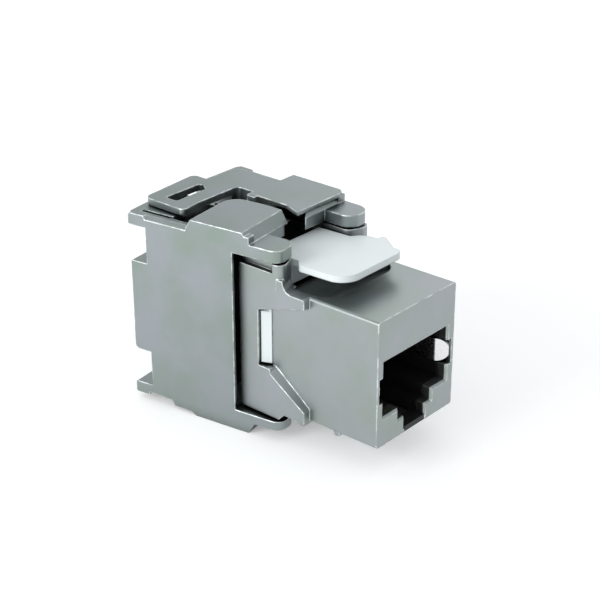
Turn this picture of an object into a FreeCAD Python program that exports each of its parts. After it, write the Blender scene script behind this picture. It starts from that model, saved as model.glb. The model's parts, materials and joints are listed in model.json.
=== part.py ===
"""Shielded keystone jack: die-cast body, two hinged rear wings, plastic panel latch.

Frame, in millimetres: the origin is the middle of the lower edge of the nose's front
face. +X is to the right seen from the front, +Y points to the rear (the cable side)
and +Z points up. Everything is written with the wings closed; the left wing is then
set ajar, which is its place at rest.
"""
import FreeCAD, Part

import math
import os

V = FreeCAD.Vector

# ---------------------------------------------------------------- driving dimensions
# Clearances and overlaps used throughout
fit = 0.1                   # between seated pieces
hair = 0.02                 # between faces that must not coincide
bite = 0.1                  # how far joined bodies run into each other
past = 1.0                  # how far a cutter runs past what it cuts

# Nose, the part that passes through the panel
nose_width = 14.5
nose_height = 16.1
nose_length = 10.0
nose_edge = 0.35            # rounding of the nose's long edges
front_wall = 1.3            # metal round the port
bump_drop = 0.45            # height of the two bumps under the nose
bump_front = 5.3
bump_length = 1.2
bump_width = 1.9
bump_ramp = 0.3
bump_inset = 0.1

# Flanks, the raised sides behind the nose, and the tall part that carries the wings
flank_step = 1.0            # how far a flank stands out from the nose
flank_length = 10.0
flank_corner = 0.3
flank_rise = 2.0            # tall part above the nose's top
tall_length = 5.3           # tall part along Y, up to the body's rear end
toe_drop = 0.3              # flank's lower front corner below the nose
toe_length = 0.8
toe_ramp = 0.4
belly_start = 3.2           # where the underside starts to slope down, behind the nose
belly_ramp = 0.8
belly_drop = 0.85           # flank's underside below the nose's underside

# Plug port
port_width = 12.06
port_shelf_z = 3.65         # shelf that the plug rests on
port_roof = 5.4             # nose's top above the port
key_width = 6.3             # step below the shelf
key_z = 2.1
latch_slot_width = 3.9      # slot for the plug's own latch, open below in the front wall
latch_slot_z = 0.55
port_depth = 12.2           # behind the front wall
mouth_bevel = 0.25
side_notch_low = 5.6        # side windows for the screen springs
side_notch_high = 8.85
side_notch_depth = 0.87     # beyond the port's side
side_notch_length = 8.6

# Wings: side wall, hinge, ears
wing_proud = 0.5            # side wall outside the flank
wing_skin = 1.2
wing_gap = 0.4              # side wall behind the flank's rear end
wing_length = 15.0          # side wall along Y
wing_split = 0.15           # half the gap between the closed wings
wall_bevel = 0.9            # inner edge of the side wall's front end
pivot_inset = 2.1           # hinge axis inside the side wall's outer face
pivot_setback = 4.1         # hinge axis in front of the body's rear end
rest_angle = 8.0            # left wing ajar, degrees
lug_rise = 1.15             # lug above the tall part
lug_reach = 2.8             # lug's outer front corner ahead of the hinge axis
lug_slant = 1.4             # lug's inner front corner farther back than the outer one
lug_inset = 0.6             # lug's side inside the flank, beside the hinge
lug_step = 1.1              # where that inset starts, ahead of the hinge axis
lug_step_run = 0.4
lug_inner_corner = 1.0
lug_outer_corner = 0.9
root_run = 1.0              # hollow curve in front of the lug
root_height = 1.4
root_inset = 0.8
ear_gap = 0.3               # ear over lug
ear_thickness = 1.5
ear_reach = 2.1             # ear's front end ahead of the hinge axis
ear_half = 1.7              # ear's inner edge from the hinge axis
ear_inner_corner = 1.7
ear_corner = 1.3            # rounding of the ear's outer corner
ear_corner_right = 1.9      # the right wing's ear is rounder
ear_root = 0.5              # ear's run into the side wall
low_ear_gap = 0.4
low_ear_thickness = 1.2
low_ear_inner_corner = 2.0
pin_radius = 0.65
pin_clearance = 0.05
pin_length = 0.8
low_pin_length = 1.2
pin_end_gap = 0.1

# Wings: top plates, tab and rear flanges
facet_setback = 2.1         # foot of the top plate's sloping front, behind the hinge axis
facet_rise = 1.3            # top plate's top above the ear's top
facet_run = 0.95
plate_thickness = 1.15
plate_length = 8.3          # top plate behind the facet's foot
plate_lead = 0.8            # plate's underside starts this far behind the facet's foot
corner_reach = 1.05         # left plate's inner corner, beyond its rear edge as seen from the hinge
left_plate_inner = 0.7      # left plate's front inner corner from the middle plane
left_plate_taper = 3.0
left_plate_corner = 2.2
front_bar_inner = 1.3       # bar that joins ear and plate: its inner end from the middle plane
front_bar_undercut = 1.5
front_bar_depth = 1.2
lip_thickness = 0.5         # right plate where it overhangs
lip_overhang = 0.1
lip_inner = 0.3             # right plate's front corner beyond the middle plane
lip_inner_corner = 0.2
lip_outer_corner = 1.2
lip_taper = 2.4
plate_rear_corner = 0.8
plate_parting = 0.65        # right plate's inner edge from the middle plane
parting_end = 1.0           # that edge ends this far in front of the plate's rear
step_wall = 1.2             # wall down from the plate to the rear shelf
step_run = 0.6              # side wall's slope down from the plate
shelf_drop = 1.75           # rear shelf below the plate's top
shelf_thickness = 0.8
tab_thickness = 0.85
tab_gap = 0.2               # tab over the other wing's rear flange
tab_setback = 2.2           # tab behind the other wing's plate
tab_inset = 0.25            # tab's free end inside the side wall's outer face
tab_corner = 0.9
tab_front_corner = 0.7
tab_slant_length = 3.0      # slanting stretch of the tab's front edge
tab_slant = 0.45
tab_rear_inset = 0.3
tab_rear_slant = 0.8        # tab's rear edge farther back at its root
tab_root = 0.5              # tab's root beyond the wing's parting face
tab_root_corner = 0.8
pocket_width = 0.65         # pocket between right plate and tab, beyond the plate's inner edge
pocket_corner = 0.6
rib_inset = 2.6             # rib beside the tab inside the side wall's outer face
rib_corner = 1.6
rib_overhang = 0.5          # rib behind the rear wall
slot_end = 1.5              # tab's slot from its free end
slot_front = 0.5            # slot's front edge ahead of the rear wall
slot_inner = 1.9            # slot's inner end from the middle plane, at its front edge
slot_slant = 1.1
slot_corner = 0.4
slot_inner_corner = 0.3
nub_outer = 2.1             # nub of the left wing under the slot, from the middle plane
nub_inner = 0.85
nub_gap = 0.15
flange_thickness = 1.5
flange_overhang = 0.2       # flanges behind the half collar
flange_parting = 0.55       # flange's inner edge from the middle plane
flange_corner = 0.8
flange_inner_corner = 0.4
flange_edge = 0.4           # roundings of the flange seen from the side
flange_lower_edge = 0.2
pad_width = 4.0             # flange's thin forward part on the left wing
pad_length = 1.7
rim_width = 1.1             # outer rim of the upper flange
rim_bevel = 0.5
rim_start = 0.7             # bevel and groove behind the plate's rear edge
groove_width = 0.6          # groove beside the rim
groove_start = 3.6
groove_end = 1.4

# Wings: rear closure and foot
collar_depth = 2.4          # half collar behind the rear wall
rear_wall = 1.3
collar_height = 12.0
collar_top_edge = 0.2
collar_low_edge = 0.6
cable_radius = 4.2
cable_z = 9.1
grip_height = 0.5           # ribs inside the cable channel
grip_width = 0.5
grip_pitch = 1.2
grip_start = 0.3
grip_root = 0.2
foot_drop = 1.5             # foot below the low ear
foot_length = 7.8
foot_start = 0.5            # foot's front behind the facet's foot
foot_edge = 0.2
foot_heel = 0.4
foot_shin = 0.4             # foot's front wall ahead of the facet's foot
foot_wall = 1.2
heel_run = 0.9              # steps of the underside behind the foot
heel_length = 2.4
arch_run = 0.4
arch_rise = 0.35
arch_end = 0.5
arch_foot = 0.1
floor_lead = 1.0
low_flange_edge = 0.3

# Panel latch
latch_width = 11.4
latch_thickness = 0.82
latch_lift = 2.15           # underside above the nose at the front edge
latch_slope = 2.0           # degrees, rising to the front
latch_front = 5.95
latch_corner = 2.4
latch_tip_inset = 0.75      # right side of the tongue's tip
latch_tip_corner = 1.1
latch_tip_length = 1.5
hook_reach = 1.25           # hook on the tongue's right side
hook_setback = 4.2          # hook's point behind the tongue's tip
hook_back = 0.5             # width of the hook's blunt end
hook_corner = 0.4
hook_edge = 0.2
swell = 0.4                 # tongue's right side behind the hook
swell_length = 1.3
swell_corner = 0.3
throat_reach = 1.8          # tongue narrows this far ahead of the hinge axis
throat_gap = 0.25
shoulder_run = 0.9
shoulder_corner = 0.8
neck_corner = 0.4
neck_gap = 0.35             # between the tongue's neck and the lugs
root_gap = 0.7              # tongue's rear end in front of the well's rear
trunnion_radius = 0.6
trunnion_length = 0.7
trunnion_rise = 1.2         # latch axis above the nose
trunnion_setback = 1.7      # latch axis behind the wings' hinge axis
trunnion_depth = 0.5
hub_half = 0.8              # hub round the latch axis
hub_cover = 0.5
web_front = 0.2
yoke_gap = 0.5              # yoke above the well's floor
yoke_cover = 0.4            # metal over the yoke's way
yoke_play = 0.4             # yoke below that metal
yoke_arm = 0.8              # yoke's arms inside the neck
leg_width = 1.8
leg_thickness = 1.05
leg_gap = 0.1               # leg in its pocket, sideways
leg_side_gap = 0.05
leg_front_gap = 0.06
leg_setback = 0.1           # leg's front ahead of the wings' hinge axis
leg_bottom = 5.75
leg_drop_room = 0.85        # room below the leg for its swing
ramp_rise = 0.5             # outer rear edge of the leg beyond the rest of it
ramp_root = 0.3
ramp_edge = 0.1
ramp_land = 0.1

# Window, funnel and finger scoop of the housing
window_bottom = 5.5
window_drop = 3.5           # window's upper edge below the nose's top
window_gap = 0.1            # behind the leg's ramp
recess_overlap = 1.2        # leg seen in the window, along Y
recess_toe = 1.6            # recess's lower edge at the flank's front
recess_flare = 2.1          # recess's upper edge rises this much to the front
recess_draft = 0.45
recess_knee = 0.6           # knee of the lower edge ahead of the leg
knee_run = 0.2
knee_drop = 0.1
scoop_front = 7.6           # finger scoop under the latch, along Y
scoop_side = 0.72           # metal beside the scoop
scoop_corner = 2.8
scoop_taper = 0.4
scoop_heel = 1.6            # where the scoop's floor starts to rise, ahead of the throat
scoop_bend = 6.0
well_half = 5.8             # well behind the scoop
well_wall = 0.6             # metal behind and under the well

# Insert, contacts and screen springs
insert_cover = 1.8          # insert above the port
cavity_side = 0.35          # insert's side wall with its clearance
insert_neck_gap = 0.6       # insert narrows ahead of the legs
insert_leg_gap = 0.25
sill_rise = 0.15            # black sill in the open slot
sill_setback = 0.05
sill_root = 0.5
bridge_length = 0.7
bridge_overlap = 0.5
contact_count = 8
contact_pitch = 1.02
contact_width = 0.4
contact_strip = 0.25
contact_bend = 0.2
contact_clearance = 0.05
contact_cover = 0.5         # insert above the contacts' level run
contact_front = 1.7         # front bend behind the front wall
contact_lean = 0.1
contact_drop = 1.25
contact_nose = 7.6          # lowest point behind the front wall
contact_dip = 2.3           # lowest point below the port's roof
contact_tip = 1.0
contact_tip_lift = 0.2
comb_margin = 0.5
comb_setback = 3.6
comb_lift = 0.15
comb_slot_rise = 0.2
spring_sheet = 0.3
spring_margin = 0.15        # spring in its notch, above, below and behind
spring_back_gap = 0.25
spring_reach = 0.12         # spring's crest inside the port
spring_ramp_rear = 4.6
spring_ramp_front = 2.5
spring_crest_front = 1.7
spring_tip = 0.25
spring_tip_out = 0.1
spring_nose = 0.1

# Board, terminals and wire cap
inner_width = 12.8          # board, terminal block and wire cap
inner_height = 17.4
board_thickness = 1.2
board_corner = 0.6
board_hole_radius = 0.45
board_hole_x = 5.2
block_thickness = 2.8
block_corner = 0.8
block_relief = 1.4
terminal_clearance = 0.05
cap_travel = 2.5
cap_gap = 0.3               # all round the cap's travel
cap_corner = 0.9
cap_terminal_room = 0.5
cap_terminal_margin = 0.2
wire_pitch = 3.0
wire_columns = 4
wire_rows = 5.6             # terminal rows above and below the cable's axis
wire_slot = 1.1
wire_slot_front = 1.1
wire_slot_inner = 3.6       # slots' inner ends above and below the cable's axis
terminal_width = 2.2
terminal_sheet = 0.4
terminal_end_gap = 0.2
slit_width = 0.28           # slit that grips the wire
slit_floor = 0.3
fork_depth = 0.7
fork_width = 1.2

# ---------------------------------------------------------------- derived places
nose_x = nose_width / 2
flank_x = nose_x + flank_step
body_end = nose_length + flank_length
tall_front = body_end - tall_length
belly_front = nose_length + belly_start + belly_ramp
flank_top = nose_height + flank_rise
lug_top = flank_top + lug_rise

wing_x = flank_x + wing_proud
wing_inner_x = wing_x - wing_skin
wing_front = body_end + wing_gap
wing_end = wing_front + wing_length
flange_rear = wing_end + flange_overhang
pivot_x = wing_x - pivot_inset
pivot_y = body_end - pivot_setback
lug_inner_x = 2 * pivot_x - flank_x
ear_bottom = lug_top + ear_gap
ear_top = ear_bottom + ear_thickness
ear_front = pivot_y - ear_reach
lug_front = pivot_y - lug_reach
throat_y = pivot_y - throat_reach
ear_inner_x = pivot_x - ear_half
plate_top = ear_top + facet_rise
plate_bottom = plate_top - plate_thickness
facet_foot = pivot_y + facet_setback
plate_rear = facet_foot + plate_length
shelf_top = plate_top - shelf_drop
shelf_bottom = shelf_top - shelf_thickness
tab_bottom = plate_top - tab_thickness
flange_top = tab_bottom - tab_gap
flange_bottom = flange_top - flange_thickness
collar_front = wing_end - collar_depth
rear_wall_front = collar_front - rear_wall
collar_top = cable_z + collar_height / 2
collar_bottom = cable_z - collar_height / 2
low_ear_top = -belly_drop - low_ear_gap
low_ear_bottom = low_ear_top - low_ear_thickness
foot_bottom = low_ear_bottom - foot_drop
foot_front = facet_foot + foot_start
foot_rear = foot_front + foot_length
low_flange_top = 2 * cable_z - flange_bottom
low_flange_bottom = low_flange_top - flange_thickness

port_x = port_width / 2
port_top_z = nose_height - port_roof
insert_roof = port_top_z + insert_cover
cavity_x = port_x + cavity_side
cavity_top = insert_roof + fit
cavity_bottom = latch_slot_z - fit
slot_x = latch_slot_width / 2
well_floor = cavity_top + well_wall
well_rear = body_end - well_wall
scoop_x = nose_x - scoop_side
leg_outer_x = nose_x + leg_side_gap
pocket_x = leg_outer_x + leg_gap
leg_inner_x = leg_outer_x - leg_thickness
leg_front = pivot_y - leg_setback
pocket_front = leg_front - leg_front_gap
ramp_x = leg_outer_x + ramp_rise
yoke_top = nose_height - yoke_cover - yoke_play
latch_pivot_y = pivot_y + trunnion_setback
latch_pivot_z = nose_height + trunnion_rise
window_top = nose_height - window_drop

comb_x = contact_count / 2 * contact_pitch + comb_margin
comb_front = front_wall + comb_setback
contact_level = insert_roof - contact_cover

board_front = body_end
block_front = board_front + board_thickness
block_rear = block_front + block_thickness
cap_front = block_rear + cap_gap
cap_rear = rear_wall_front - cap_gap - cap_travel
inner_x = inner_width / 2
inner_bottom = cable_z - inner_height / 2
inner_top = cable_z + inner_height / 2
terminal_tip = cap_front + cap_travel - terminal_end_gap


# ---------------------------------------------------------------- shape helpers
def box(x0, x1, y0, y1, z0, z1):
    return Part.makeBox(x1 - x0, y1 - y0, z1 - z0, V(x0, y0, z0))


def rounded_wire(corners, place):
    """Closed wire through (u, v) or (u, v, radius) corners; place(u, v) is the 3-D point."""
    flat = [V(c[0], c[1], 0) for c in corners]
    radii = [c[2] if len(c) > 2 else 0 for c in corners]
    ends = []
    for i, corner in enumerate(flat):
        back = (flat[i - 1] - corner).normalize()
        ahead = (flat[(i + 1) % len(flat)] - corner).normalize()
        if radii[i] == 0:
            ends.append((corner, None, corner))
            continue
        half = back.getAngle(ahead) / 2
        reach = radii[i] / math.tan(half)
        centre = corner + (back + ahead).normalize() * (radii[i] / math.sin(half))
        middle = centre + (corner - centre).normalize() * radii[i]
        ends.append((corner + back * reach, middle, corner + ahead * reach))
    edges = []
    for i, (start, middle, finish) in enumerate(ends):
        if middle is not None:
            arc = Part.Arc(place(start.x, start.y), place(middle.x, middle.y), place(finish.x, finish.y))
            edges.append(arc.toShape())
        following = ends[(i + 1) % len(ends)][0]
        if (following - finish).Length > 1e-6:
            line = Part.LineSegment(place(finish.x, finish.y), place(following.x, following.y))
            edges.append(line.toShape())
    return Part.Wire(edges)


def slab_x(corners, x0, x1):
    """Outline in (y, z), pulled from x0 to x1."""
    return Part.Face(rounded_wire(corners, lambda y, z: V(x0, y, z))).extrude(V(x1 - x0, 0, 0))


def slab_y(corners, y0, y1):
    """Outline in (x, z), pulled from y0 to y1."""
    return Part.Face(rounded_wire(corners, lambda x, z: V(x, y0, z))).extrude(V(0, y1 - y0, 0))


def slab_z(corners, z0, z1):
    """Outline in (x, y), pulled from z0 to z1."""
    return Part.Face(rounded_wire(corners, lambda x, y: V(x, y, z0))).extrude(V(0, 0, z1 - z0))


def post(x, y, z0, z1, radius):
    return Part.makeCylinder(radius, z1 - z0, V(x, y, z0))


def rod_x(x0, x1, y, z, radius):
    return Part.makeCylinder(radius, x1 - x0, V(x0, y, z), V(1, 0, 0))


def rod_y(x, z, y0, y1, radius):
    return Part.makeCylinder(radius, y1 - y0, V(x, y0, z), V(0, 1, 0))


def mirrored(shape):
    return shape.mirror(V(0, 0, 0), V(1, 0, 0))


def both_sides(shape):
    return [shape, mirrored(shape)]


def joined(first, others):
    return first.fuse(others).removeSplitter()


def grown(corners, distance):
    """A closed outline's corners, moved outwards by distance; the outline runs anticlockwise."""
    moved = []
    for i, (u, v) in enumerate(corners):
        before = V(u, v, 0) - V(*corners[i - 1], 0)
        after = V(*corners[(i + 1) % len(corners)], 0) - V(u, v, 0)
        first = V(before.y, -before.x, 0).normalize()
        second = V(after.y, -after.x, 0).normalize()
        mitre = (first + second) * (distance / (1 + first.dot(second)))
        moved.append((u + mitre.x, v + mitre.y))
    return moved


def strip(points, thickness, bend):
    """Corners of a bent strip of sheet along points, with rounded bends."""
    sides = ([], [])
    for i, point in enumerate(points):
        here = V(*point, 0)
        into = (here - V(*points[i - 1], 0)).normalize() if i else None
        out = (V(*points[i + 1], 0) - here).normalize() if i < len(points) - 1 else None
        first = into or out
        second = out or into
        normal_in = V(-first.y, first.x, 0)
        normal_out = V(-second.y, second.x, 0)
        mitre = (normal_in + normal_out) * (thickness / 2 / (1 + normal_in.dot(normal_out)))
        turn = first.x * second.y - first.y * second.x
        radii = (0, 0)
        if into is not None and out is not None:
            radii = (bend, bend + thickness) if turn > 0 else (bend + thickness, bend)
        sides[0].append((here.x + mitre.x, here.y + mitre.y, radii[0]))
        sides[1].append((here.x - mitre.x, here.y - mitre.y, radii[1]))
    return sides[0] + sides[1][::-1]


# ---------------------------------------------------------------- front housing
def port_outline():
    """The plug port's stepped outline in (x, z), anticlockwise."""
    key_x = key_width / 2
    right = [(slot_x, latch_slot_z), (slot_x, key_z), (key_x, key_z), (key_x, port_shelf_z),
             (port_x, port_shelf_z), (port_x, port_top_z)]
    return right + [(-x, z) for x, z in reversed(right)]


def port_mouth():
    """Opening in the front wall, with its bevelled rim and the side notches."""
    outline = port_outline()
    bore = slab_y(outline, -past, front_wall + fit)
    rim = [rounded_wire(grown(outline, mouth_bevel), lambda x, z: V(x, 0, z)),
           rounded_wire(outline, lambda x, z: V(x, mouth_bevel, z))]
    bevel = Part.makeLoft(rim, True, True)
    notch_x = port_x + side_notch_depth
    notch = box(-notch_x, notch_x, -past, side_notch_length, side_notch_low, side_notch_high)
    return [bore, bevel, notch]


def flank_recess():
    """Funnel in the outer face of the right flank that runs back to the latch leg's window."""
    rear = leg_front + recess_overlap + window_gap
    knee = leg_front - recess_knee
    roof = window_top + recess_flare
    upper_draft = recess_draft / 2
    knee_draft = recess_draft * 1.5
    floor = [(nose_length, recess_toe), (knee - knee_run, window_bottom - knee_drop), (knee, window_bottom),
             (rear, window_bottom), (rear, window_top), (nose_length, roof)]
    face = [(nose_length, recess_toe - knee_run), (knee + knee_drop, window_bottom - knee_draft),
            (knee + knee_run, window_bottom - hair), (rear + hair, window_bottom - hair),
            (rear + hair, window_top + upper_draft), (nose_length, roof + upper_draft)]
    wires = [rounded_wire(floor, lambda y, z: V(nose_x, y, z)),
             rounded_wire(face, lambda y, z: V(flank_x, y, z))]
    window = box(leg_inner_x, nose_x + past / 2, pocket_front, rear, window_bottom, window_top)
    return [Part.makeLoft(wires, True, True), window]


def nose_block():
    corners = [(-nose_x, 0, nose_edge), (nose_x, 0, nose_edge),
               (nose_x, nose_height, nose_edge), (-nose_x, nose_height, nose_edge)]
    return slab_y(corners, 0, body_end)


def panel_bump():
    """Small ramp under the nose's right side that rests against the panel's edge."""
    rear = bump_front + bump_length
    side = [(bump_front, past / 2), (bump_front + bump_ramp, -bump_drop),
            (rear - bump_ramp, -bump_drop), (rear, past / 2)]
    outer = nose_x - bump_inset
    return slab_x(side, outer - bump_width, outer)


def flank_block():
    """Raised flank of the right side, with the tall part at its rear."""
    side = [(nose_length, -toe_drop), (nose_length + toe_length, -toe_drop),
            (nose_length + toe_length + toe_ramp, 0), (nose_length + belly_start, 0),
            (belly_front, -belly_drop), (body_end, -belly_drop), (body_end, flank_top, flank_corner),
            (tall_front, flank_top, flank_corner), (tall_front, nose_height),
            (nose_length, nose_height, flank_corner)]
    return slab_x(side, lug_inner_x, flank_x)


def hinge_lug():
    """Lug under the right wing's ear: slanting front, and a side set back beside the pin."""
    step = pivot_y - lug_step
    side_x = flank_x - lug_inset
    corners = [(lug_inner_x, lug_front + lug_slant, lug_inner_corner),
               (flank_x, lug_front, lug_outer_corner), (flank_x, step), (side_x, step + lug_step_run),
               (side_x, body_end), (lug_inner_x, body_end)]
    return slab_z(corners, nose_height, lug_top)


def lug_root():
    """Hollow curve that leads from the nose's top up to the lug's slanting front."""
    foot = lug_front - root_run
    head = lug_front + root_run / 5
    tail = lug_front + root_run + bite
    buried = nose_height - past / 2
    corners = [(foot, buried), (foot, nose_height),
               (lug_front - root_run * 2 / 5, nose_height + root_height / 7),
               (lug_front, nose_height + root_height / 2), (head, nose_height + root_height),
               (tail, nose_height + root_height), (tail, buried)]
    width = flank_x - lug_inner_x - root_inset
    slant = lug_slant * width / (flank_x - lug_inner_x)
    face = Part.Face(rounded_wire(corners, lambda y, z: V(flank_x, y, z)))
    return face.extrude(V(-width, slant, 0))


def finger_scoop():
    """Well under the latch, whose floor rises to the nose's top at the front."""
    rim = nose_height + hair / 2
    shoulder = throat_y - scoop_taper
    outline = [(-scoop_x, scoop_front, scoop_corner), (scoop_x, scoop_front, scoop_corner),
               (scoop_x, shoulder), (well_half, throat_y), (well_half, well_rear),
               (-well_half, well_rear), (-well_half, throat_y), (-scoop_x, shoulder)]
    profile = [(scoop_front - bite, rim), (throat_y - scoop_heel, well_floor, scoop_bend),
               (well_rear, well_floor), (well_rear, rim)]
    deep = slab_z(outline, well_floor, rim)
    return deep.common(slab_x(profile, -scoop_x, scoop_x))


def leg_way():
    """Room in the right side for the latch's leg, its ramp and the yoke that joins the legs."""
    low = leg_bottom - leg_drop_room
    leg = box(cavity_x - past / 2, pocket_x, pocket_front, well_rear, low, nose_height)
    ramp = box(nose_x - past / 2, ramp_x + fit, leg_front + ramp_root, well_rear,
               leg_bottom - ramp_root, window_top)
    yoke = box(well_half - past / 2, pocket_x, pocket_front, well_rear, well_floor, nose_height - yoke_cover)
    return [leg, ramp, yoke]


def hinge_holes():
    """Blind holes for the right wing's two pins and for the latch's trunnion."""
    radius = pin_radius + pin_clearance
    upper = post(pivot_x, pivot_y, lug_top - pin_length - pin_end_gap, lug_top + past, radius)
    lower = post(pivot_x, pivot_y, -belly_drop - past, low_ear_top + low_pin_length + pin_end_gap, radius)
    trunnion = rod_x(lug_inner_x - bite, lug_inner_x + trunnion_depth, latch_pivot_y, latch_pivot_z,
                     trunnion_radius + pin_clearance)
    return [upper, lower, trunnion]


def front_housing():
    """Die casting: nose with the port, flanks with the latch windows, hinge lugs."""
    belly = box(-lug_inner_x, lug_inner_x, belly_front, body_end, -belly_drop, past)
    solids = [belly]
    for piece in (flank_block(), hinge_lug(), lug_root(), panel_bump()):
        solids += both_sides(piece)
    body = joined(nose_block(), solids)

    cavity = box(-cavity_x, cavity_x, front_wall, body_end + past, cavity_bottom, cavity_top)
    open_slot = box(-slot_x, slot_x, -past, front_wall + past, -past, key_z)
    cuts = [cavity, finger_scoop(), open_slot, *port_mouth()]
    for piece in (*leg_way(), *hinge_holes(), *flank_recess()):
        cuts += both_sides(piece)
    return body.cut(cuts).removeSplitter()


# ---------------------------------------------------------------- port insert and contacts
def port_insert():
    """Black moulding that lines the port and carries the contact carrier."""
    front_x = cavity_x - fit
    rear_x = leg_inner_x - insert_leg_gap
    neck = leg_front - insert_neck_gap
    bottom = cavity_bottom + fit
    plug_end = front_wall + port_depth
    front = box(-front_x, front_x, front_wall + fit, neck, bottom, insert_roof)
    rear = box(-rear_x, rear_x, neck, body_end, bottom, insert_roof)
    plug_room = slab_y(port_outline(), front_wall, plug_end)
    open_bottom = box(-slot_x, slot_x, front_wall, plug_end, cavity_bottom, key_z)
    spring_room = box(-cavity_x, cavity_x, front_wall, side_notch_length, side_notch_low, side_notch_high)
    channel = box(-comb_x, comb_x, front_wall, body_end + past, port_top_z - hair / 2, insert_roof + past)
    lining = joined(front, [rear]).cut([plug_room, open_bottom, spring_room, channel])

    sill_x = slot_x - hair
    sill_top = latch_slot_z + sill_rise
    bridge_x = sill_x + bridge_overlap
    bridge_front = front_wall + fit
    sill = box(-sill_x, sill_x, sill_setback, front_wall + sill_root, 0, sill_top)
    bridge = box(-bridge_x, bridge_x, bridge_front, bridge_front + bridge_length, latch_slot_z, sill_top)
    return joined(lining, [sill, bridge])


def contact_x(index):
    return (index - (contact_count - 1) / 2) * contact_pitch


def contact_carrier():
    """Comb that holds the eight contacts side by side above the plug."""
    comb_half = comb_x - fit
    bar = box(-comb_half, comb_half, comb_front, body_end, port_top_z + comb_lift, insert_roof - hair)
    slot_half = contact_width / 2 + contact_clearance
    slots = [box(contact_x(i) - slot_half, contact_x(i) + slot_half, comb_front - past, body_end + past,
                 port_top_z - past, contact_level + comb_slot_rise) for i in range(contact_count)]
    return bar.cut(slots)


def contact(index):
    """Gold spring contact: level run in the comb, bend at the front, nose that dips into the port."""
    bend_y = front_wall + contact_front
    nose_y = front_wall + contact_nose
    nose_z = port_top_z - contact_dip
    path = [(body_end, contact_level), (bend_y, contact_level),
            (bend_y + contact_lean, contact_level - contact_drop), (nose_y, nose_z),
            (nose_y + contact_tip, nose_z + contact_tip_lift)]
    corners = strip(path, contact_strip, contact_bend)
    x = contact_x(index)
    return slab_x(corners, x - contact_width / 2, x + contact_width / 2)


def shield_spring():
    """Bright screen spring in the right side notch; its rounded nose meets the plug's shell."""
    outer = port_x + side_notch_depth - spring_back_gap
    crest = port_x - spring_reach
    low = side_notch_low + spring_margin
    high = side_notch_high - spring_margin
    path = [(outer, side_notch_length - spring_margin), (outer, spring_ramp_rear),
            (crest, spring_ramp_front), (crest, spring_crest_front), (outer + spring_tip_out, spring_tip)]
    ribbon = slab_z(strip(path, spring_sheet, spring_sheet), low, high)
    rounding = (high - low) / 2 - hair
    blank = slab_x([(spring_nose, low, rounding), (spring_nose, high, rounding),
                    (side_notch_length, high), (side_notch_length, low)], crest - past, outer + past)
    return ribbon.common(blank)


# ---------------------------------------------------------------- board, terminals, cap
def row_z(row):
    return cable_z + (wire_rows if row else -wire_rows)


def column_x(column):
    return (column - (wire_columns - 1) / 2) * wire_pitch


def inner_plate(y0, y1, corner):
    """Plate across the wings' inside."""
    corners = [(-inner_x, inner_bottom, corner), (inner_x, inner_bottom, corner),
               (inner_x, inner_top, corner), (-inner_x, inner_top, corner)]
    return slab_y(corners, y0, y1)


def terminal_room(column, row, y0, y1, margin):
    x = column_x(column)
    z = row_z(row)
    half_width = terminal_width / 2 + margin
    half_height = terminal_sheet / 2 + margin
    return box(x - half_width, x + half_width, y0, y1, z - half_height, z + half_height)


def circuit_board():
    board = inner_plate(board_front, block_front, board_corner)
    holes = [rod_y(x, cable_z, board_front - past, block_front + past, board_hole_radius)
             for x in (-board_hole_x, board_hole_x)]
    return board.cut(holes)


def idc_block():
    """Block that carries the eight forked terminals."""
    block = inner_plate(block_front, block_rear, block_corner)
    rooms = [terminal_room(column, row, block_front - past, block_rear + past, terminal_clearance)
             for column in range(wire_columns) for row in range(2)]
    relief = rod_y(0, cable_z, block_rear - block_relief, block_rear, cable_radius)
    return block.cut(rooms + [relief])


def idc(column, row):
    """Forked terminal: the wire is pressed into the slit between its two tines."""
    blade = terminal_room(column, row, block_front, terminal_tip, 0)
    x = column_x(column)
    z = row_z(row)
    slit = slit_width / 2
    fork = fork_width / 2
    floor = block_rear + slit_floor
    throat = terminal_tip - fork_depth
    mouth = [(x - slit, floor), (x + slit, floor), (x + slit, throat), (x + fork, terminal_tip + bite),
             (x - fork, terminal_tip + bite), (x - slit, throat)]
    return blade.cut(slab_z(mouth, z - past, z + past))


def wire_cap():
    """Cap that carries the wires in eight slots and presses them onto the terminals."""
    cap = inner_plate(cap_front, cap_rear, cap_corner)
    cuts = [rod_y(0, cable_z, cap_front - past, cap_rear + past, cable_radius)]
    slot_half = wire_slot / 2
    slot_front = cap_front + wire_slot_front
    room_end = terminal_tip + cap_terminal_room
    for column in range(wire_columns):
        x = column_x(column)
        for row in range(2):
            cuts.append(terminal_room(column, row, cap_front - past, room_end, cap_terminal_margin))
            low = cable_z + wire_slot_inner if row else inner_bottom - past
            high = inner_top + past if row else cable_z - wire_slot_inner
            cuts.append(box(x - slot_half, x + slot_half, slot_front, cap_rear + past, low, high))
    return cap.cut(cuts).removeSplitter()


# ---------------------------------------------------------------- wings, as the right one
def ear(z0, z1, inner_corner, outer_corner):
    root = wing_front + ear_root
    corners = [(ear_inner_x, ear_front, inner_corner), (wing_x, ear_front, outer_corner),
               (wing_x, root), (ear_inner_x, root)]
    return slab_z(corners, z0, z1)


def underside():
    """Lower edge of a wing in (y, z): from the rear flange over the arch and the heel to the foot."""
    heel_z = (foot_bottom + low_flange_bottom) / 2
    heel_rear = foot_rear + heel_run + heel_length
    arch_z = low_flange_bottom + arch_rise
    arch_rear = collar_front + arch_end
    return [(flange_rear, low_flange_top, low_flange_edge),
            (flange_rear, low_flange_bottom, low_flange_edge),
            (arch_rear + arch_foot, low_flange_bottom), (arch_rear, arch_z),
            (heel_rear + arch_run, arch_z), (heel_rear, heel_z), (foot_rear + heel_run, heel_z),
            (foot_rear, foot_bottom, foot_heel), (foot_front, foot_bottom, foot_edge)]


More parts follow.
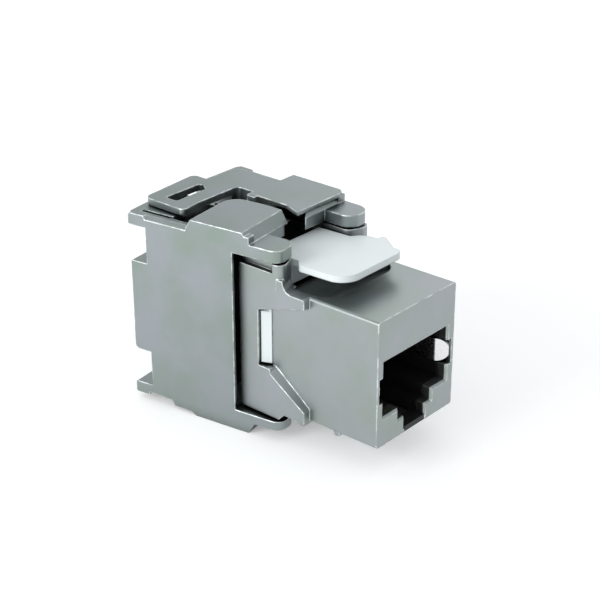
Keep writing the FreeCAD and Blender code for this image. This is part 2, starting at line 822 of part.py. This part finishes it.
def side_wall():
    """Outer wall, with the two notches of its rear edge and the stepped foot."""
    shin = facet_foot - foot_shin
    collar = [(collar_front, flange_bottom), (collar_front, collar_top),
              (wing_end, collar_top, collar_top_edge), (wing_end, collar_bottom, collar_low_edge),
              (collar_front, collar_bottom), (collar_front, low_flange_top)]
    upper = [(facet_foot, ear_top), (facet_foot + facet_run, plate_top), (plate_rear, plate_top),
             (plate_rear + step_run, flange_top), (flange_rear, flange_top, flange_edge),
             (flange_rear, flange_bottom, flange_lower_edge)]
    front = [(shin, low_ear_bottom), (shin, low_ear_top), (wing_front, low_ear_top),
             (wing_front, ear_bottom), (facet_foot, ear_bottom)]
    wall = slab_x(upper + collar + underside() + front, wing_inner_x, wing_x)
    bevel_x = wing_inner_x - bite
    bevel_y = wing_front - bite
    bevel = slab_z([(bevel_x, bevel_y), (wing_inner_x + wall_bevel, bevel_y),
                    (bevel_x, wing_front + wall_bevel)], low_ear_top, ear_bottom)
    return wall.cut(bevel)


def wing_floor():
    """Underside of a wing, from the low ear to the rear flange."""
    shin = facet_foot - foot_shin
    inner = shin + foot_wall
    skin = foot_bottom + wing_skin
    corners = [(shin, low_ear_bottom), (shin, low_ear_top), (inner, low_ear_top), (inner, skin),
               (foot_rear - floor_lead, skin), (foot_rear, low_flange_top)]
    return slab_x(corners + underside(), wing_split, wing_x)


def cable_bore(y0, y1, radius):
    return rod_y(0, cable_z, y0, y1, radius)


def rear_closure():
    """Rear wall and half collar, with grip ribs in the cable channel."""
    wall = box(wing_split, wing_x, rear_wall_front, collar_front, low_flange_top - bite, shelf_bottom + bite)
    collar = slab_x([(collar_front, collar_bottom), (wing_end, collar_bottom, collar_low_edge),
                     (wing_end, collar_top, collar_top_edge), (collar_front, collar_top)],
                    wing_split, wing_x)
    closure = joined(wall, [collar])
    closure = closure.cut(cable_bore(rear_wall_front - past, wing_end + past, cable_radius))
    ribs = []
    for index in range(3):
        y = rear_wall_front + grip_start + index * grip_pitch
        ring = cable_bore(y, y + grip_width, cable_radius + grip_root)
        ring = ring.cut(cable_bore(y - past, y + grip_width + past, cable_radius - grip_height))
        half = box(wing_split, wing_x, y, y + grip_width, collar_bottom, collar_top)
        ribs.append(ring.common(half))
    return joined(closure, ribs)


def plate_front():
    """Cutter in front of the sloping facet that leads from the ear up to the plate."""
    ahead = facet_foot - past
    return slab_x([(ahead, ear_top), (facet_foot, ear_top), (facet_foot + facet_run, plate_top),
                   (ahead, plate_top)], 0, wing_inner_x)


def front_bar():
    """Bar behind the ear that carries the plate's front end; undercut towards the middle."""
    rear = facet_foot + front_bar_depth
    bar = slab_z([(front_bar_inner, facet_foot), (wing_x, facet_foot), (wing_x, rear),
                  (front_bar_inner + front_bar_undercut, rear)],
                 ear_bottom, plate_top - lip_thickness + bite)
    return bar.cut(plate_front())


def hinge_pins():
    upper = post(pivot_x, pivot_y, lug_top - pin_length + pin_end_gap, ear_bottom + bite, pin_radius)
    lower = post(pivot_x, pivot_y, low_ear_top - bite, low_ear_top + low_pin_length, pin_radius)
    return [upper, lower]


def wing_shell(outer_corner):
    """Everything that both wings share; outer_corner rounds the upper ear."""
    shelf_front = plate_rear - step_wall
    shelf = box(wing_split, wing_x, shelf_front, collar_front, shelf_bottom, shelf_top)
    step = box(wing_split, wing_x, shelf_front, plate_rear, shelf_bottom, plate_top - bite)
    flange = slab_z([(flange_parting, rear_wall_front), (wing_x, rear_wall_front),
                     (wing_x, flange_rear, flange_corner),
                     (flange_parting, flange_rear, flange_inner_corner)], flange_bottom, flange_top)
    ears = [ear(ear_bottom, ear_top, ear_inner_corner, outer_corner),
            ear(low_ear_bottom, low_ear_top, low_ear_inner_corner, ear_corner)]
    return joined(side_wall(), [shelf, flange, front_bar(), step, wing_floor(), rear_closure(),
                                *hinge_pins(), *ears])


def rim_cuts():
    """Bevel on the side wall's upper edge behind the plate, and the groove beside the rim."""
    rim_x = wing_x - rim_bevel
    bevel = slab_y([(rim_x, flange_top), (wing_x + bite, flange_top - rim_bevel - bite),
                    (wing_x + bite, flange_top + bite), (rim_x, flange_top + bite)],
                   plate_rear + rim_start, collar_front + 2 * bite)
    groove_x = wing_x - rim_width
    groove = box(groove_x - groove_width, groove_x, plate_rear + groove_start, collar_front + groove_end,
                 shelf_top, flange_top + bite)
    return [bevel, groove]


def right_tab():
    """Tab of the right wing that laps over the left wing's rear flange, and its slot."""
    end_x = tab_inset - wing_x
    root_x = wing_split + tab_root
    front = plate_rear + tab_setback
    rear = wing_end - tab_rear_inset
    tab = slab_z([(end_x, front, tab_front_corner), (end_x + tab_slant_length, front + tab_slant),
                  (root_x, front + tab_slant), (root_x, rear + tab_rear_slant, tab_root_corner),
                  (end_x, rear, tab_corner)], tab_bottom, plate_top)
    slot_x0 = end_x + slot_end
    slot_y0 = rear_wall_front - slot_front
    slot_y1 = collar_front + fit
    slot = slab_z([(slot_x0, slot_y0, slot_corner), (-slot_inner, slot_y0 + bite, slot_inner_corner),
                   (slot_slant - slot_inner, slot_y1, slot_corner), (slot_x0, slot_y1, slot_corner)],
                  tab_bottom - past, plate_top + past)
    return tab, slot


def right_wing():
    """Wing with the overlapping plate and the tab that closes over the left wing."""
    lip = facet_foot - lip_overhang
    top = slab_z([(-lip_inner, lip, lip_inner_corner), (wing_x, lip, lip_outer_corner),
                  (wing_x, plate_rear, plate_rear_corner), (wing_split, plate_rear),
                  (plate_parting, plate_rear - parting_end), (plate_parting, lip + lip_taper)],
                 plate_top - lip_thickness, plate_top)
    rib_front = plate_rear - parting_end
    rib_x = wing_x - rib_inset
    rib_rear = collar_front + rib_overhang
    pocket_x0 = plate_parting + pocket_width
    pocket_rear = plate_rear + tab_setback + tab_slant
    rib = slab_z([(pocket_x0, rib_front), (rib_x, rib_front), (rib_x, rib_rear, rib_corner),
                  (wing_split, rib_rear), (wing_split, pocket_rear),
                  (pocket_x0, pocket_rear, pocket_corner)], shelf_top - bite, plate_top)
    tab, slot = right_tab()
    wing = joined(wing_shell(ear_corner_right), [top, rib, tab])
    return wing.cut([slot, *rim_cuts()]).removeSplitter()


# ---------------------------------------------------------------- left wing
def left_plate():
    """Top plate with the sloping front facet; its inner rear corner follows the wing's swing."""
    profile = [(facet_foot, ear_top - 2 * bite), (facet_foot, ear_top), (facet_foot + facet_run, plate_top),
               (wing_end, plate_top), (wing_end, plate_bottom), (facet_foot + plate_lead, plate_bottom)]
    ahead = facet_foot - past
    outline = [(-wing_x, ahead), (-left_plate_inner, ahead), (-wing_split, facet_foot + left_plate_taper),
               (-wing_split, plate_rear, left_plate_corner), (-wing_x, plate_rear)]
    plate = slab_x(profile, -wing_x, wing_x).common(slab_z(outline, plate_bottom - past, plate_top + past))
    return plate.common(swing(plate_bottom - past, plate_top + past))


def swing(z0, z1):
    """What the left wing's plate may fill to pass the right wing's tab."""
    return post(-pivot_x, pivot_y, z0, z1, plate_rear + corner_reach - pivot_y)


def left_wing_closed():
    pad = box(wing_x - pad_width, wing_x, rear_wall_front - pad_length, rear_wall_front + bite,
              shelf_top - bite, flange_top)
    shell = mirrored(joined(wing_shell(ear_corner), [pad]).cut(rim_cuts()))
    beyond = box(-pivot_x, past, pivot_y, wing_end + past, flange_top, plate_top + past)
    shell = shell.cut(beyond.cut(swing(flange_top - past, plate_top + 2 * past)))
    nub = box(-nub_outer, -nub_inner, rear_wall_front, collar_front - fit, shelf_top - bite,
              tab_bottom - nub_gap)
    return joined(shell, [left_plate(), nub])


def left_wing():
    wing = left_wing_closed()
    wing.rotate(V(-pivot_x, pivot_y, 0), V(0, 0, 1), rest_angle)
    return wing


# ---------------------------------------------------------------- panel latch
def tongue_outline():
    """Finger tongue seen from above, with the hook on its right side and the narrow neck."""
    half = latch_width / 2
    neck = lug_inner_x - neck_gap
    rear = well_rear - root_gap
    throat = throat_y - throat_gap
    shoulder = throat - shoulder_run
    tip_x = half - latch_tip_inset
    hook_x = half + hook_reach
    hook_y = latch_front + hook_setback
    hook_rear = hook_y + hook_back
    return [(-half, latch_front, latch_corner), (tip_x, latch_front, latch_tip_corner),
            (tip_x, latch_front + latch_tip_length, swell_corner), (hook_x, hook_y, hook_corner),
            (hook_x - fit, hook_rear, hook_edge), (half + swell, hook_rear + fit, hook_edge),
            (half + swell - fit / 2, hook_rear + fit + swell_length, swell_corner),
            (half, shoulder, shoulder_corner), (neck, throat, neck_corner), (neck, rear), (-neck, rear),
            (-neck, throat, neck_corner), (-half, shoulder, shoulder_corner)]


def latch_leg():
    """Right leg, with the ramp that shows in the flank's window."""
    leg = box(leg_inner_x, leg_outer_x, leg_front, leg_front + leg_width, leg_bottom, yoke_top)
    root_x = leg_outer_x - ramp_root
    crest = leg_front + recess_overlap
    ramp = slab_z([(root_x, leg_front), (leg_outer_x - leg_side_gap, leg_front),
                   (ramp_x, crest - ramp_land / 2, ramp_edge), (ramp_x, crest + ramp_land / 2),
                   (root_x, crest + ramp_land / 2)], leg_bottom, window_top - fit)
    return leg.fuse(ramp)


def panel_latch():
    """White moulding: finger tongue, root on two trunnions, yoke and two legs inside the flanks."""
    front_z = nose_height + latch_lift
    tongue = slab_z(tongue_outline(), front_z, front_z + latch_thickness)
    tongue.rotate(V(0, latch_front, front_z), V(1, 0, 0), -latch_slope)
    sunk = (latch_pivot_y - latch_front) * math.sin(math.radians(latch_slope))

    neck = lug_inner_x - neck_gap
    rear = latch_pivot_y + hub_half
    yoke_bottom = well_floor + yoke_gap
    arm = neck - yoke_arm
    hub_top = front_z - sunk + hub_cover
    hub = box(-neck, neck, latch_pivot_y - hub_half, rear, latch_pivot_z - hub_half, hub_top)
    web = box(-neck, neck, latch_pivot_y - web_front, rear, yoke_bottom, latch_pivot_z)
    trunnion = rod_x(neck - bite, neck + trunnion_length, latch_pivot_y, latch_pivot_z, trunnion_radius)
    yoke = box(-leg_outer_x, leg_outer_x, leg_front + bite, rear, yoke_bottom, yoke_top)
    yoke = yoke.cut(box(-arm, arm, leg_front - past, latch_pivot_y - web_front, well_floor, nose_height))
    return joined(tongue, [hub, web, yoke, *both_sides(trunnion), *both_sides(latch_leg())])


# ---------------------------------------------------------------- the whole jack
def pieces():
    parts = {"front_housing": front_housing(), "port_insert": port_insert(),
             "contact_carrier": contact_carrier(), "circuit_board": circuit_board(),
             "idc_block": idc_block(), "wire_cap": wire_cap(), "left_wing": left_wing(),
             "right_wing": right_wing(), "panel_latch": panel_latch()}
    spring = shield_spring()
    parts["shield_spring_right"] = spring
    parts["shield_spring_left"] = mirrored(spring)
    for index in range(contact_count):
        parts[f"contact_{index + 1}"] = contact(index)
    for index in range(2 * wire_columns):
        parts[f"idc_{index + 1}"] = idc(index % wire_columns, index // wire_columns)
    return parts


os.makedirs("parts", exist_ok=True)
for name, shape in pieces().items():
    print(f"{name}: {len(shape.Solids)} solid, valid {shape.isValid()}, {shape.Volume:.2f} mm3")
    shape.exportStep(f"parts/{name}.step")
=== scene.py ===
import json
import math

import bpy
from mathutils import Matrix, Vector

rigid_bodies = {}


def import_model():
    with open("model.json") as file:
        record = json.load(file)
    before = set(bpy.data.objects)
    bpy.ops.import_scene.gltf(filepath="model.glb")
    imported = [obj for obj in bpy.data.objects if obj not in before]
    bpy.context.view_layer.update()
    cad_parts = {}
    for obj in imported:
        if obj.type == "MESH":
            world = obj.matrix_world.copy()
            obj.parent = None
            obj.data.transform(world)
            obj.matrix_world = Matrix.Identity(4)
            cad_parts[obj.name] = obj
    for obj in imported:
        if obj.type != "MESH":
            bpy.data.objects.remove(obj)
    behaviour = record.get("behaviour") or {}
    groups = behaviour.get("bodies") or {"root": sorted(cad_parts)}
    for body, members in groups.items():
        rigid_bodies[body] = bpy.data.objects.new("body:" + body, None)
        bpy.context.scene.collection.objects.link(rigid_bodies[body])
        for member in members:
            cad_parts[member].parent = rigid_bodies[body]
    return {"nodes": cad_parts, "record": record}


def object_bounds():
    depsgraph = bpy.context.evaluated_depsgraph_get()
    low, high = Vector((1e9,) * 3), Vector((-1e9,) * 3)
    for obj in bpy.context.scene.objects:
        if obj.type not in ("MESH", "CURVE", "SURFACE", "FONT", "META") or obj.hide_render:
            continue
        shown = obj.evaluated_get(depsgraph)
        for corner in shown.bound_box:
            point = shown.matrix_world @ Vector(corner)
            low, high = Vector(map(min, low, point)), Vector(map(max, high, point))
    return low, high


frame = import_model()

cad_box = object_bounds()
MM = 0.001


def linear(code):
    """Linear RGBA of an sRGB hex colour."""
    channels = [int(code[i:i + 2], 16) / 255 for i in (1, 3, 5)]
    bright = [((c + 0.055) / 1.055) ** 2.4 if c > 0.04045 else c / 12.92 for c in channels]
    return (*bright, 1.0)


# ---------------------------------------------------------------- camera
# The jack is seen from its front left, 26 degrees above the level.
camera_aim = Vector((-3.133, 15.0, 12.814)) * MM
camera_distance = 180.5 * MM
azimuth = math.radians(-49.132)
elevation = math.radians(25.638)
roll = math.radians(-0.124)
focal_length = 91.6
sensor_width = 36.0

backward = Vector((math.sin(azimuth) * math.cos(elevation),
                   -math.cos(azimuth) * math.cos(elevation),
                   math.sin(elevation)))
level = Vector((0, 0, 1)).cross(backward).normalized()
tilt = Matrix.Rotation(roll, 3, backward)
rightward = tilt @ level
upward = tilt @ backward.cross(level)

camera_data = bpy.data.cameras.new("camera")
camera_data.lens = focal_length
camera_data.sensor_width = sensor_width
camera_data.clip_start = 10 * MM
camera = bpy.data.objects.new("camera", camera_data)
facing = Matrix((rightward, upward, backward)).transposed().to_4x4()
camera.matrix_world = Matrix.Translation(camera_aim + backward * camera_distance) @ facing
bpy.context.scene.collection.objects.link(camera)
bpy.context.scene.camera = camera


# ---------------------------------------------------------------- materials
def add(tree, kind, inputs=None, **settings):
    """Adds a node, its settings, and its inputs: each a value or another node's output."""
    node = tree.nodes.new(kind)
    for name, value in settings.items():
        setattr(node, name, value)
    for socket, value in (inputs or {}).items():
        if isinstance(value, bpy.types.NodeSocket):
            tree.links.new(value, node.inputs[socket])
        else:
            node.inputs[socket].default_value = value
    return node


def new_material(name):
    made = bpy.data.materials.new(name)
    made.use_nodes = True
    made.node_tree.nodes.clear()
    return made, made.node_tree


def finish_material(made, tree, shader):
    add(tree, "ShaderNodeOutputMaterial", {"Surface": shader.outputs[0]})
    return made


def die_cast_zinc(name, green_grey, blue_grey):
    """Zinc die casting, tumbled and plated with satin nickel. It is a soft grey metal with
    faint clouds between a greenish and a bluish grey, edges rubbed brighter in patches and lit
    by a painted highlight, recesses darkened nearly black as painted shade, and a fine grain on
    a gentle ripple.
    The grain is drawn coarser than the real one, so that it shows."""
    edge_radius = 0.26 * MM
    cloud_size = 6 * MM
    patch_size = 1.1 * MM
    painted_shade_reach = 3 * MM
    ripple_size = 1.6 * MM
    ripple_height = 0.08 * MM
    grain_size = 0.12 * MM
    grain_height = 0.02 * MM
    # Colour of rubbed edges, which also serves as a painted highlight
    rubbed_edge_and_highlight_shade = "#E6EBE9"
    # Painted shade colour for recesses
    painted_shade_colour = "#16191A"

    made, tree = new_material(name)
    place = add(tree, "ShaderNodeTexCoord").outputs["Object"]
    cloud = add(tree, "ShaderNodeTexNoise", {
        "Vector": place, "Scale": 1 / cloud_size, "Detail": 3.0, "Roughness": 0.5})
    drift = add(tree, "ShaderNodeMapRange", {
        "Value": cloud.outputs["Fac"], "From Min": 0.35, "From Max": 0.65})
    grey = add(tree, "ShaderNodeMix", {
        "Factor": drift.outputs["Result"], "A": linear(green_grey), "B": linear(blue_grey)},
        data_type="RGBA")

    # Rubbed edges, lightened in patches as wear and as a painted highlight: where the rounded
    # normal turns away from the face's own
    round_edge = add(tree, "ShaderNodeBevel", {"Radius": edge_radius}, samples=12)
    flat = add(tree, "ShaderNodeNewGeometry").outputs["Normal"]
    agreement = add(tree, "ShaderNodeVectorMath", {0: round_edge.outputs[0], 1: flat},
                    operation="DOT_PRODUCT")
    edge = add(tree, "ShaderNodeMapRange", {
        "Value": agreement.outputs["Value"], "From Min": 0.998, "From Max": 0.9,
        "To Min": 0.0, "To Max": 1.0})
    patches = add(tree, "ShaderNodeTexNoise", {
        "Vector": place, "Scale": 1 / patch_size, "Detail": 3.0})
    patchy = add(tree, "ShaderNodeMapRange", {
        "Value": patches.outputs["Fac"], "From Min": 0.38, "From Max": 0.62,
        "To Min": 0.15, "To Max": 1.0})
    wear_and_highlight = add(tree, "ShaderNodeMath", {0: edge.outputs["Result"], 1: patchy.outputs["Result"]},
               operation="MULTIPLY")
    worn = add(tree, "ShaderNodeMix", {
        "Factor": wear_and_highlight.outputs[0], "A": grey.outputs["Result"], "B": linear(rubbed_edge_and_highlight_shade)},
        data_type="RGBA")

    # Painted shade: recesses darkened towards near black by ambient occlusion
    painted_shade_occlusion = add(tree, "ShaderNodeAmbientOcclusion", {"Distance": painted_shade_reach}, samples=8)
    painted_shade_mask = add(tree, "ShaderNodeMapRange", {
        "Value": painted_shade_occlusion.outputs["AO"], "From Min": 0.28, "From Max": 0.62,
        "To Min": 1.0, "To Max": 0.0})
    colour = add(tree, "ShaderNodeMix", {
        "Factor": painted_shade_mask.outputs["Result"], "A": worn.outputs["Result"],
        "B": linear(painted_shade_colour)}, data_type="RGBA")

    # Satin surface: ripple, grain and a roughness that follows the clouds
    rough = add(tree, "ShaderNodeMapRange", {
        "Value": cloud.outputs["Fac"], "To Min": 0.32, "To Max": 0.46})
    ripples = add(tree, "ShaderNodeTexNoise", {
        "Vector": place, "Scale": 1 / ripple_size, "Detail": 2.0})
    rippled = add(tree, "ShaderNodeBump", {
        "Height": ripples.outputs["Fac"], "Strength": 0.2, "Distance": ripple_height,
        "Normal": round_edge.outputs[0]})
    grain = add(tree, "ShaderNodeTexNoise", {
        "Vector": place, "Scale": 1 / grain_size, "Detail": 2.0})
    grained = add(tree, "ShaderNodeBump", {
        "Height": grain.outputs["Fac"], "Strength": 0.15, "Distance": grain_height,
        "Normal": rippled.outputs["Normal"]})
    shader = add(tree, "ShaderNodeBsdfPrincipled", {
        "Base Color": colour.outputs["Result"], "Metallic": 1.0,
        "Roughness": rough.outputs["Result"], "Normal": grained.outputs["Normal"]})
    return finish_material(made, tree, shader)


def moulded_plastic(name, shade, deep_shade, roughness, edge_radius):
    """Injection-moulded plastic: an even colour with a soft sheen, a fine spark-eroded
    grain, drawn coarser than the real one so that it shows, and slightly rounded edges."""
    cloud_size = 5 * MM
    grain_size = 0.1 * MM
    grain_height = 0.01 * MM

    made, tree = new_material(name)
    place = add(tree, "ShaderNodeTexCoord").outputs["Object"]
    cloud = add(tree, "ShaderNodeTexNoise", {
        "Vector": place, "Scale": 1 / cloud_size, "Detail": 2.0})
    colour = add(tree, "ShaderNodeMix", {
        "Factor": cloud.outputs["Fac"], "A": linear(shade), "B": linear(deep_shade)},
        data_type="RGBA")
    round_edge = add(tree, "ShaderNodeBevel", {"Radius": edge_radius}, samples=8)
    grain = add(tree, "ShaderNodeTexNoise", {
        "Vector": place, "Scale": 1 / grain_size, "Detail": 2.0})
    grained = add(tree, "ShaderNodeBump", {
        "Height": grain.outputs["Fac"], "Strength": 0.1, "Distance": grain_height,
        "Normal": round_edge.outputs[0]})
    shader = add(tree, "ShaderNodeBsdfPrincipled", {
        "Base Color": colour.outputs["Result"], "Roughness": roughness, "IOR": 1.5,
        "Normal": grained.outputs["Normal"]})
    return finish_material(made, tree, shader)


def plated_strip(name, shade, worn_shade, roughness):
    """Thin rolled and plated strip: a bright metal with faint rolling marks along it."""
    mark_width = 0.15 * MM
    mark_length = 3 * MM
    edge_radius = 0.05 * MM
    dull_marks = 0.12

    made, tree = new_material(name)
    place = add(tree, "ShaderNodeTexCoord").outputs["Object"]
    rolled = add(tree, "ShaderNodeMapping", {
        "Vector": place, "Scale": (1 / mark_width, 1 / mark_length, 1 / mark_width)})
    marks = add(tree, "ShaderNodeTexNoise", {
        "Vector": rolled.outputs[0], "Scale": 1.0, "Detail": 2.0})
    colour = add(tree, "ShaderNodeMix", {
        "Factor": marks.outputs["Fac"], "A": linear(shade), "B": linear(worn_shade)},
        data_type="RGBA")
    rough = add(tree, "ShaderNodeMapRange", {
        "Value": marks.outputs["Fac"], "To Min": roughness, "To Max": roughness + dull_marks})
    round_edge = add(tree, "ShaderNodeBevel", {"Radius": edge_radius}, samples=6)
    shader = add(tree, "ShaderNodeBsdfPrincipled", {
        "Base Color": colour.outputs["Result"], "Metallic": 1.0,
        "Roughness": rough.outputs["Result"], "Normal": round_edge.outputs[0]})
    return finish_material(made, tree, shader)


finishes = {
    "zinc_casting": die_cast_zinc("satin_nickel_on_zinc", "#8D9892", "#989DA1"),
    "white_moulding": moulded_plastic(
        "white_moulded_plastic", "#E4EBEA", "#DFE6E6", 0.42, 0.2 * MM),
    "pale_moulding": moulded_plastic(
        "pale_moulded_plastic", "#D5D8D4", "#CBCFCB", 0.45, 0.12 * MM),
    "black_moulding": moulded_plastic(
        "black_moulded_plastic", "#0D0D0F", "#08080A", 0.5, 0.1 * MM),
    "board": moulded_plastic("black_circuit_board", "#121512", "#0C0F0D", 0.3, 0.05 * MM),
    "gold_contact": plated_strip("gold_plated_bronze", "#F2CF7E", "#DDB45E", 0.18),
    "tinned_terminal": plated_strip("tin_plated_bronze", "#D9DAD8", "#C2C4C2", 0.3),
    "bright_spring": plated_strip("nickel_plated_spring_strip", "#EDEEEE", "#DCDEDE", 0.22),
}
# The front housing gets a lighter copy of the same zinc, as painted light that brightens it
# against the wings
lit_housing_zinc = die_cast_zinc("lit_copy_of_nickel_on_zinc", "#98A19C", "#A1A5A9")

for subpart in frame["record"]["subparts"]:
    piece = frame["nodes"][subpart["node"]]
    finish = finishes[subpart["material_slot"]]
    if subpart["node"] == "front_housing":
        finish = lit_housing_zinc
    for holder in [piece, *piece.children_recursive]:
        if holder.type == "MESH":
            holder.data.materials.clear()
            holder.data.materials.append(finish)


# ---------------------------------------------------------------- studio
def softbox(name, place, side, watts, target):
    """Square area lamp at place, turned to target."""
    lamp_data = bpy.data.lights.new(name, "AREA")
    lamp_data.shape = "SQUARE"
    lamp_data.size = side
    lamp_data.energy = watts
    lamp = bpy.data.objects.new(name, lamp_data)
    lamp.location = place
    lamp.rotation_euler = (target - place).to_track_quat("-Z", "Y").to_euler()
    bpy.context.scene.collection.objects.link(lamp)


nose_top = Vector((0, 4, 16)) * MM
flank_middle = Vector((0, 12, 9)) * MM
softbox("key_lamp", Vector((-250, 80, 120)) * MM, 140 * MM, 0.40, flank_middle)
softbox("top_lamp", Vector((140, 80, 150)) * MM, 120 * MM, 0.03, nose_top)

world = bpy.data.worlds.new("studio")
world.use_nodes = True
bpy.context.scene.world = world
sky = world.node_tree
sky.nodes.clear()
sky_light = add(sky, "ShaderNodeBackground", {"Color": linear("#E6E8EA"), "Strength": 1.0})
add(sky, "ShaderNodeOutputWorld", {"Surface": sky_light.outputs[0]})


def white_paper():
    """White paper sweep: matt, and for the eye and for reflections a little brighter than
    its shade, so that it ends in plain white away from the jack's shadow."""
    made, tree = new_material("white_paper")
    matt = add(tree, "ShaderNodeBsdfDiffuse", {"Color": linear("#E8E9E9")})
    lift = add(tree, "ShaderNodeEmission", {"Color": linear("#FFFFFF"), "Strength": 0.3})
    lifted = add(tree, "ShaderNodeAddShader", {0: matt.outputs[0], 1: lift.outputs[0]})
    path = add(tree, "ShaderNodeLightPath")
    seen = add(tree, "ShaderNodeMath", {
        0: path.outputs["Is Camera Ray"], 1: path.outputs["Is Glossy Ray"]}, operation="MAXIMUM")
    seen = add(tree, "ShaderNodeMath", {
        0: seen.outputs[0], 1: path.outputs["Is Transmission Ray"]}, operation="MAXIMUM")
    paper = add(tree, "ShaderNodeMixShader", {
        0: seen.outputs[0], 1: matt.outputs[0], 2: lifted.outputs[0]})
    return finish_material(made, tree, paper)


floor_side = 3000 * MM
floor_z = min(corner[2] for corner in cad_box)
bpy.ops.mesh.primitive_plane_add(size=floor_side, location=(0, 0, floor_z))
floor = bpy.context.object
floor.name = "floor"
floor.data.materials.append(white_paper())

bpy.context.scene.view_settings.view_transform = "Standard"
